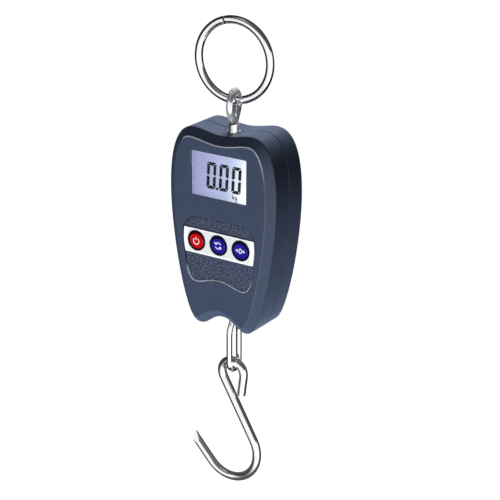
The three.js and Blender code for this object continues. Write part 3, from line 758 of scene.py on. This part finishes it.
def make_rear_shell():
    edge = PARTING + GAP / 2
    outside = filleted([(PARTING_GROOVE, edge, 0), (0, edge + PARTING_GROOVE, 0.2),
                        (0, BACK - BACK_CHAMFER, 0.6), (BACK_INSET, BACK, 0.4),
                        (BACK_INSET + 1.5, BACK, 0)], 5)
    inside = [(WALL, edge - 2), (WALL, INNER_BACK)]
    deep = BAY["wall"]
    bay_walls = [
        block((-BAY["half"] - deep, BAY["half"] + deep), (BAY["floor"] - deep, BACK - 0.5),
              (BAY["bottom"] - deep, BAY["top"] + deep)),
        block((-LEDGE_BACKING["half"], LEDGE_BACKING["half"]), (LEDGE_BACKING["front"], BACK - 0.5),
              (LEDGE_BACKING["bottom"], LEDGE_BACKING["top"])),
    ]
    bosses = [lathe([(BOSS_RADIUS, BOSS_FRONT), (BOSS_RADIUS, INNER_BACK + BEYOND)], x, z, 32)
              for x, z in CASE_SCREWS]
    bay = block((-BAY["half"], BAY["half"]), (BAY["floor"], BACK + BEYOND), (BAY["bottom"], BAY["top"]))
    ledge = rounded_rectangle(COVER["half"] + RUNNING_GAP, COVER["bottom"] - RUNNING_GAP,
                              COVER["top"] + RUNNING_GAP, 2.3)
    ledge_cut = loft(ledge, [(0, COVER["front"] - RUNNING_GAP), (0, BACK - 0.25), (-0.2, BACK),
                             (-1.2, BACK + BEYOND)])
    notch = lathe([(5.5, BACK - 1.1), (5.5, BACK - 0.25), (5.75, BACK), (6.75, BACK + BEYOND)], 0,
                  COVER["top"] + RUNNING_GAP, 64)
    label = rounded_rectangle(LABEL["half"], LABEL["bottom"], LABEL["top"], LABEL["radius"])
    label_cut = loft(label, [(0, BACK - 0.4), (0, BACK - 0.12), (-0.12, BACK), (-1.1, BACK + BEYOND)])
    bore = [(BORE_SHANK, BORE_FRONT), (BORE_SHANK, BORE_SEAT), (BORE_HEAD, BORE_SEAT),
            (BORE_HEAD, BACK - 0.35), (BORE_HEAD + 0.3, BACK), (BORE_HEAD + 1.3, BACK + BEYOND)]
    bores = [lathe(bore, x, z, 48) for x, z in CASE_SCREWS]
    shell = join(cut(loft(HOUSING, outside), loft(HOUSING, inside)), *bay_walls, *bosses)
    return cut(shell, bay, ledge_cut, notch, label_cut, *bores, *make_shank_holes())


def make_cover():
    outline = rounded_rectangle(COVER["half"], COVER["bottom"], COVER["top"], 2)
    front, back = COVER["front"], COVER["back"]
    plate = loft(outline, filleted([(1, front, 0), (0, front, 0.1), (0, back, 0.35), (1, back, 0)], 4))
    outer = rounded_rectangle(BAY["half"] - 0.4, BAY["bottom"] + 0.4, BAY["top"] - 0.4, 0.6)
    skirt = cut(loft(outer, [(0, front - 0.5), (0, front + 0.2)]),
                loft(inset(outer, 1), [(0, front - BEYOND), (0, front + 0.1)]))
    groove_profile = [(0.3, back - GRIP["depth"]), (0.1, back - 0.3), (0, back - 0.1), (-0.12, back),
                      (-0.2, back + BEYOND)]
    grooves = []
    for i in range(GRIP["count"]):
        z = COVER["top"] - GRIP["below_top"] - GRIP["pitch"] * i
        groove = rounded_rectangle(GRIP["half"] - i, z - GRIP["half_height"], z + GRIP["half_height"],
                                   GRIP["half_height"], 6)
        grooves.append(loft(groove, groove_profile))
    return cut(join(plate, skirt), *grooves)


def make_label():
    gap = LABEL["gap"]
    outline = rounded_rectangle(LABEL["half"] - gap, LABEL["bottom"] + gap, LABEL["top"] - gap,
                                LABEL["radius"] - gap)
    return loft(outline, [(0.1, BACK - 0.3), (0, BACK - 0.25), (0, BACK - 0.15), (0.06, BACK - 0.1)])


def make_screw(x, z):
    """A pan head with a cross recess, seen from the back, on its shank."""
    profile = filleted([(0, SCREW_FRONT, 0), (SCREW_SHANK - 0.4, SCREW_FRONT, 0),
                        (SCREW_SHANK, SCREW_FRONT + 1, 0.3), (SCREW_SHANK, SCREW_SEAT, 0),
                        (SCREW_HEAD, SCREW_SEAT, 0.1), (SCREW_HEAD, SCREW_BACK - 0.7, 0.7),
                        (SCREW_HEAD - 1.1, SCREW_BACK, 2), (0, SCREW_BACK, 0)], 4)
    depth = (CROSS_FLOOR, SCREW_BACK + 0.4)
    crosses = [block((x - across, x + across), depth, (z - up, z + up))
               for across, up in ((CROSS_LONG, CROSS_SHORT), (CROSS_SHORT, CROSS_LONG))]
    return cut(lathe(profile, x, z, 40), *crosses)


front_housing = piece("front_housing", make_front_shell(), "housing", ["front_shell"])
front_housing.visible_glossy = False
paint_front_shell(front_housing)
piece("rear_housing", make_rear_shell(), "housing", ["rear_shell"])
piece("battery_door", make_cover(), "housing", ["battery_cover"], body="battery_cover")
piece("blank_label", make_label(), "label", ["rating_label"])
for number, (x, z) in enumerate(CASE_SCREWS, 1):
    piece(f"case_screw_head_{number}", make_screw(x, z), "plated", [f"case_screw_{number}"])

# ---------------- display


def strokes(lines, width, front, back, x, z):
    """Flat ribbons along lines of (x, z) points, as one thin mesh between two depths."""
    points, faces = [], []
    for line in lines:
        line = np.asarray(line, float)
        along = np.gradient(line, axis=0)
        along /= np.linalg.norm(along, axis=1)[:, None]
        off = np.c_[-along[:, 1], along[:, 0]] * width / 2
        start = len(points)
        for p, o in zip(line, off):
            for y in (front, back):
                points.append((x + p[0] + o[0], y, z + p[1] + o[1]))
                points.append((x + p[0] - o[0], y, z + p[1] - o[1]))
        for i in range(len(line) - 1):
            a, b = start + 4 * i, start + 4 * (i + 1)
            faces += [(a, a + 1, b + 1, b), (a + 2, b + 2, b + 3, a + 3), (a, b, b + 2, a + 2),
                      (a + 1, a + 3, b + 3, b + 1)]
        last = start + 4 * (len(line) - 1)
        faces += [(start, start + 2, start + 3, start + 1), (last, last + 1, last + 3, last + 2)]
    return new_mesh(points, faces)


def polygons(shapes, front, back):
    """Flat shapes of (x, z) points, as one thin mesh between two depths."""
    points, faces = [], []
    for shape in shapes:
        start, count = len(points), len(shape)
        points += [(p[0], y, p[1]) for y in (front, back) for p in shape]
        faces.append(tuple(range(start, start + count)))
        faces.append(tuple(range(start + 2 * count - 1, start + count - 1, -1)))
        for i in range(count):
            j = (i + 1) % count
            faces.append((start + i, start + count + i, start + count + j, start + j))
    return new_mesh(points, faces)


def zero_segments(x):
    """The six segments of a seven-segment zero whose middle is at x, leaning a little."""
    half, middle, thick, gap = DIGIT_WIDTH / 2, DIGIT_HEIGHT / 2, SEGMENT, SEGMENT_GAP
    left_low = [(-half, thick * 0.5 + gap), (-half, middle - thick * 0.3 - gap),
                (-half + thick * 0.45, middle - gap), (-half + thick, middle - thick * 0.5 - gap),
                (-half + thick, thick + gap), (-half + 0.25, thick * 0.3 + gap)]
    left_high = [(px, 2 * middle - pz) for px, pz in left_low]
    low_bar = [(-half + 0.5, 0.25), (-half + 0.9, 0), (half - 0.9, 0), (half - 0.5, 0.25),
               (half - thick - 0.1, thick), (-half + thick + 0.1, thick)]
    high_bar = [(px, 2 * middle - pz) for px, pz in low_bar]
    right = [[(-px, pz) for px, pz in segment] for segment in (left_low, left_high)]
    return [[(x + px + SLANT * (pz - middle), DIGIT_BASE + pz) for px, pz in segment]
            for segment in (left_low, left_high, low_bar, high_bar, *right)]


def make_number():
    """0.00, with its point after the first digit."""
    shapes = []
    for i in range(3):
        shapes += zero_segments(LAST_DIGIT - DIGIT_PITCH * (2 - i))
    point_x = LAST_DIGIT - 1.5 * DIGIT_PITCH - SLANT * DIGIT_HEIGHT / 2 - 0.1
    shapes.append([(point_x - 0.8, DIGIT_BASE), (point_x + 0.8, DIGIT_BASE),
                   (point_x + 0.9, DIGIT_BASE + 1.6), (point_x - 0.7, DIGIT_BASE + 1.6)])
    return polygons(shapes, INK_FRONT, INK_BACK)


def make_unit():
    """The letters kg, small, below the last digit."""
    k = [[(0, 0), (0, 2.5)], [(0.1, 0.85), (1.25, 1.8)], [(0.45, 1.05), (1.3, 0)]]
    bowl = arc((2.55, 0.9), 0.65, 0, 2 * math.pi, 14)
    tail = np.vstack([[(3.2, 1.6), (3.2, -0.3)], arc((2.55, -0.3), 0.65, 0, -2.6, 8)])
    return strokes([*k, bowl, tail], UNIT_STROKE, INK_FRONT, INK_BACK, UNIT_X, UNIT_Z)


def make_glass():
    edge, back = 0.15, GLASS_FRONT + GLASS_THICKNESS
    profile = [(edge, GLASS_FRONT), (0, GLASS_FRONT + edge), (0, back - edge), (edge, back)]
    return loft(round_window(GLASS_X, GLASS_Z, 0.4), profile)


def make_lens():
    """The window, whose raised part fills the opening, and its flange behind the shell."""
    raised = round_window(WINDOW_X, WINDOW_Z, 0.5)
    flange = round_window(FLANGE_X, FLANGE_Z, 0.8)
    crown = filleted([(0.4, FRONT + 0.3, 0), (0, FRONT + 0.3, 0.25), (0, INNER_FRONT + GAP, 0)], 4)
    rings = [at_depth(inset(raised, distance), y) for distance, y in crown]
    rings += [at_depth(flange, INNER_FRONT + GAP), at_depth(flange, INNER_FRONT + FLANGE_BACK)]
    return rings_to_mesh(rings)


piece("display_panel", make_glass(), "display", ["display_glass"])
piece("display_number", make_number(), "segments")
piece("display_unit", make_unit(), "segments")
piece("window_lens", make_lens(), "clear", ["display_lens"])

# ---------------- keypad

def make_panel():
    """The silver panel, its ends a little bowed, with a soft rim round each button."""
    middle = (PANEL_TOP + PANEL_BOTTOM) / 2
    low_corner = (25.6, PANEL_BOTTOM)
    right = bezier((26.4, PANEL_TOP), (27.2, middle + 2.75), (26.93, middle - 2.75), low_corner, 16)
    right = np.vstack([right, [low_corner]])
    outline = np.vstack([right, right[::-1] * (-1, 1)])
    back, front = FRONT + PAD_DEPTH - GAP, FRONT - 0.2
    plate = loft(outline, [(0, back), (0, front + 0.18), (0.05, front + 0.06), (0.18, front)])
    rims, holes = [], []
    for i in (-1, 0, 1):
        rim = filleted([(0.5, back, 0), (PANEL_HOLE + 0.9, back, 0), (PANEL_HOLE + 0.9, front, 0.15),
                        (PANEL_HOLE + 0.55, front - 0.3, 0.25), (0.5, front - 0.3, 0)], 4)
        rims.append(lathe(rim, i * BUTTON_PITCH, BUTTON_Z, 72))
        holes.append(hole(PANEL_HOLE, front - 0.3, back + BEYOND, i * BUTTON_PITCH, BUTTON_Z, 0.15, 72))
    return cut(join(plate, *rims), *holes)


def make_cap(x):
    """A glossy cap whose dished middle sits inside a raised ring, its flange and its stem."""
    flange_front, flange_back = INNER_FRONT + 0.1, INNER_FRONT + 0.9
    profile = filleted([(0, CAP_FRONT + 0.28, 0), (BUTTON_RADIUS - 1.35, CAP_FRONT + 0.2, 0.15),
                        (BUTTON_RADIUS - 1.05, CAP_FRONT + 0.02, 0.2),
                        (BUTTON_RADIUS - 0.7, CAP_FRONT + 0.02, 0.3), (BUTTON_RADIUS, CAP_FRONT + 0.75, 0.5),
                        (BUTTON_RADIUS, flange_front, 0.05), (CAP_FLANGE, flange_front, 0.1),
                        (CAP_FLANGE, flange_back, 0.1), (CAP_STEM, flange_back, 0.2),
                        (CAP_STEM, CAP_STEM_BACK, 0.1), (0, CAP_STEM_BACK, 0)], 5)
    return lathe(profile, x, BUTTON_Z, 80)


def make_shade_ring(x):
    """A thin black ring on the panel round a button: painted shade, standing for the shadow gap round the
    button.
    """
    back = FRONT + PAD_DEPTH - GAP
    profile = filleted([(0.5, back, 0), (SHADE_RING_RADIUS, back, 0), (SHADE_RING_RADIUS, SHADE_RING_FRONT, 0.12),
                        (0.5, SHADE_RING_FRONT, 0)], 4)
    opening = hole(BUTTON_RADIUS + 0.2, SHADE_RING_FRONT, back + BEYOND, x, BUTTON_Z, 0.1, 80)
    return cut(lathe(profile, x, BUTTON_Z, 80), opening)


def power_icon():
    """An open ring with an upright stroke in its gap."""
    gap = math.radians(38)
    return [arc((0, -0.25), 2.1, math.pi / 2 + gap, 5 * math.pi / 2 - gap, 24), [(0, 0.5), (0, 2.45)]]


def mode_icon():
    """Two arrows that chase each other round."""
    lines = []
    for turn in (0, math.pi):
        circle = arc((0, 0), 2.1, turn + 0.4, turn + math.pi - 0.35, 16)
        end, before = circle[-1], circle[-3]
        along = (end - before) / np.linalg.norm(end - before)
        off = np.array([-along[1], along[0]])
        tip, barb = end + along * 0.15, 1.05
        lines += [circle, [end - along * barb + off * barb, tip], [end - along * barb - off * barb, tip]]
    return lines


def tare_icon():
    """A nought between two arrows that point at it."""
    around = np.linspace(0, 2 * np.pi, 25)
    lines = [np.c_[0.95 * np.cos(around), 1.45 * np.sin(around)]]
    for side in (-1, 1):
        lines += [[(side * 3.5, 0), (side * 1.75, 0)], [(side * 2.6, 0.9), (side * 1.7, -0.05)],
                  [(side * 2.6, -0.9), (side * 1.7, 0.05)]]
    return lines


piece("keypad_plate", make_panel(), "panel", ["keypad_panel"])
BUTTONS = [("power", "red", power_icon), ("mode", "blue", mode_icon), ("tare", "blue", tare_icon)]
for i, (name, colour, icon) in enumerate(BUTTONS):
    x, button = (i - 1) * BUTTON_PITCH, f"{name}_button"
    symbol = strokes(icon(), ICON_STROKE, ICON_FRONT, ICON_BACK, x, BUTTON_Z)
    piece(f"{name}_cap", make_cap(x), colour, [button], body=button)
    piece(f"{name}_icon", symbol, "print", body=button)
    piece(f"{name}_shade_ring", make_shade_ring(x), "painted_shade_black")

# ---------------- batteries


def make_battery(x, up):
    """An AAA cell: crimped jacket, seal ring and positive nub."""
    radius, length, nub, nub_radius = CELL["radius"], CELL["length"], CELL["nub"], CELL["nub_radius"]
    end = (BAY["top"] if up > 0 else BAY["bottom"]) - up * 0.9
    crimp = length - nub
    profile = filleted([(0, 0, 0), (radius - 0.9, 0, 0.2), (radius - 0.7, 0.3, 0.1), (radius, 0.6, 0.3),
                        (radius, crimp - 0.5, 0.5), (radius - 0.7, crimp, 0.2),
                        (nub_radius + 0.5, crimp - 0.15, 0.1), (nub_radius, crimp, 0.1),
                        (nub_radius, length, 0.3), (0, length, 0)], 4)
    placed = [(r, end - up * (length - z)) for r, z in profile]
    return lathe(placed, x, CELL["depth"], 56, upright=True)


def make_spring(x, up, node):
    """A conical contact spring at the cell's flat end, wound to fill the CAD spring's height."""
    low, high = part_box(node)
    bottom, top = from_row(low)[2], from_row(high)[2]
    wire, wide, narrow = SPRING["wire"], SPRING["wide"], SPRING["narrow"]
    t = np.linspace(0, 1, SPRING["points"])
    angle = 2 * np.pi * SPRING["turns"] * t
    radius = wide + (narrow - wide) * t
    rise = wire + (top - bottom - 2 * wire) * t
    height = bottom + rise if up > 0 else top - rise
    across, deep = x + radius * np.cos(angle), CELL["depth"] + up * radius * np.sin(angle)
    return bar(np.c_[across, deep, height], wire, 10)


for number in (1, 2, 3):
    x, up = (number - 2) * CELL["pitch"], (-1 if number == 2 else 1)
    node = f"battery_spring_{number}"
    piece(f"cell_{number}", make_battery(x, up), "battery_jacket", [f"battery_{number}"])
    piece(f"spring_{number}", make_spring(x, up, node), "plated", [node])

# ---------------- CAD nodes that stay, inside the housing

SOFTENED_EDGE = 0.0001
INSIDE = {
    "aluminium": ["load_cell"],
    "white_plastic": ["strain_gauge_sealant", "display_backlight"],
    "plated": ["top_lock_nut", "bottom_lock_nut", *(f"board_screw_{i}" for i in (1, 2, 3, 4)),
               *(f"battery_contact_{i}" for i in (1, 2, 3))],
    "rubber": ["display_connector", "load_cell_lead", "battery_lead_negative"],
    "insulation": ["battery_lead_positive"],
    "black_plastic": ["display_holder", "controller_chip", "converter_chip",
                      *(f"{n}_switch{part}" for n in ("power", "mode", "tare") for part in ("", "_plunger"))],
    "board": ["circuit_board"],
}
for look, names in INSIDE.items():
    for name in names:
        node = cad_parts[name]
        node.data.materials.clear()
        node.data.materials.append(looks[look])
        soften = node.modifiers.new("edges", "BEVEL")
        soften.width = SOFTENED_EDGE
        soften.segments = 2
        soften.limit_method = "ANGLE"
        soften.angle_limit = math.radians(50)

# ---------------- studio

SOFTBOX_DISTANCE = 1.4


def make_floor():
    """A pale floor, well below the hanging scale."""
    size, level = 16.0, -1.7
    mesh = bpy.data.meshes.new("floor")
    corners = [(-size, -size, level), (size, -size, level), (size, size, level), (-size, size, level)]
    mesh.from_pydata(corners, [], [(0, 1, 2, 3)])
    o = in_scene("floor", mesh)
    mesh.materials.append(mottled("floor", (0.90, 0.90, 0.90), (0.92, 0.92, 0.92), 3, (0.8, 0.9),
                                  Emission_Color=(1, 1, 1, 1), Emission_Strength=1.0))
    o.visible_glossy = False
    o.visible_diffuse = False


def softbox(name, direction, size, watts, colour=(1, 1, 1)):
    """A square area light that faces the scale's middle, and lights it without showing in the steel."""
    light = bpy.data.lights.new(name, "AREA")
    light.size = size
    light.energy = watts
    light.color = colour
    o = in_scene(name, light)
    target = (cad_bounds[0] + cad_bounds[1]) / 2
    away = Vector(direction).normalized()
    o.location = target + away * SOFTBOX_DISTANCE
    o.rotation_mode = "QUATERNION"
    o.rotation_quaternion = away.to_track_quat("Z", "Y")
    o.visible_glossy = False


# Round patches of the surroundings that the steel mirrors: the direction of a patch's middle, the cosines at
# which it starts and is full, and its grey.
FAR_SIDE = (-0.527, 0.781, -0.336)
PATCHES = [
    (FAR_SIDE, -0.34, -0.12, 0.012),
    (FAR_SIDE, 0.88, 0.93, 0.9),
    ((-1.0, 0.1, -0.1), 0.74, 0.84, 0.01),
    ((0.05, 0.35, -0.93), 0.84, 0.92, 0.01),
    ((0.57, 0.10, 0.80), 0.70, 0.78, 0.07),
    ((0.65, -0.684, -0.336), 0.86, 0.97, 3.0),
]


def make_world():
    """Surroundings that are white to the camera, dark to matt surfaces and patched in what steel mirrors."""
    world = bpy.data.worlds.new("studio")
    bpy.context.scene.world = world
    world.use_nodes = True
    sky = Nodes(world.node_tree)

    def grey(value):
        return (value, value, value, 1)

    def greys(component, *stops):
        """Greys that follow one component of the direction, through (component, grey) stops."""
        stops = [((at + 1) / 2, (value,) * 3) for at, value in stops]
        return sky.ramp(sky.remap(component, -1, 1), stops)

    def mix(factor, first, second):
        mixed = sky.node("ShaderNodeMix", dict(data_type="RGBA"), Factor=factor, A=first, B=second)
        return mixed.outputs["Result"]

    direction = sky.node("ShaderNodeTexCoord").outputs["Generated"]
    split = sky.node("ShaderNodeSeparateXYZ", Vector=direction)
    height, depth = split.outputs["Z"], split.outputs["Y"]
    front = greys(height, (-1, 0.9), (0.2, 1.0), (0.42, 0.9), (0.55, 0.12), (0.8, 0.12), (1, 0.6))
    behind = greys(height, (-1, 0.6), (-0.92, 0.4), (-0.84, 0.015), (0.0, 0.02), (0.2, 0.09), (0.60, 0.12),
                   (0.68, 0.9), (1, 0.7))
    in_steel = mix(greys(depth, (0.35, 0), (0.6, 1)), front, behind)
    for towards, outer, inner, value in PATCHES:
        middle = Vector(towards).normalized()
        cosine = sky.maths("DOT_PRODUCT", direction, middle, kind="ShaderNodeVectorMath")
        in_steel = mix(greys(cosine, (outer, 0), (inner, 1)), in_steel, grey(value))
    rays = sky.node("ShaderNodeLightPath").outputs
    around = mix(rays["Is Diffuse Ray"], in_steel, grey(0.02))
    background = sky.tree.nodes["Background"].inputs
    sky.feed(background["Color"], mix(rays["Is Camera Ray"], around, grey(1.0)))
    background["Strength"].default_value = 1.0


def make_camera():
    """A long lens, a little round to the right of the front and a little above."""
    data = bpy.data.cameras.new("camera")
    data.lens = 113.3
    data.sensor_width = 36
    data.shift_x = 0.0317
    data.shift_y = -0.064
    o = in_scene("camera", data)
    azimuth, elevation, distance = math.radians(34.01), math.radians(19.63), 1.001
    away = Vector((math.sin(azimuth) * math.cos(elevation), -math.cos(azimuth) * math.cos(elevation),
                   math.sin(elevation)))
    o.location = Vector((0, 0, row_height(0))) + away * distance
    o.rotation_mode = "QUATERNION"
    o.rotation_quaternion = away.to_track_quat("Z", "Y")
    bpy.context.scene.camera = o


make_floor()
softbox("key", (0.04, -1.0, -0.845), 0.6, 27.5)
softbox("top", (-0.35, 1.05, 1.0), 0.7, 96, (1.0, 0.93, 0.84))
softbox("low", (0.0, -0.2, -1.0), 0.6, 12, (0.82, 0.91, 1.0))
softbox("low_behind", (0.10, 0.6, -1.0), 0.6, 74, (1.0, 0.97, 0.90))
make_world()
make_camera()
bpy.context.scene.view_settings.view_transform = "Standard"
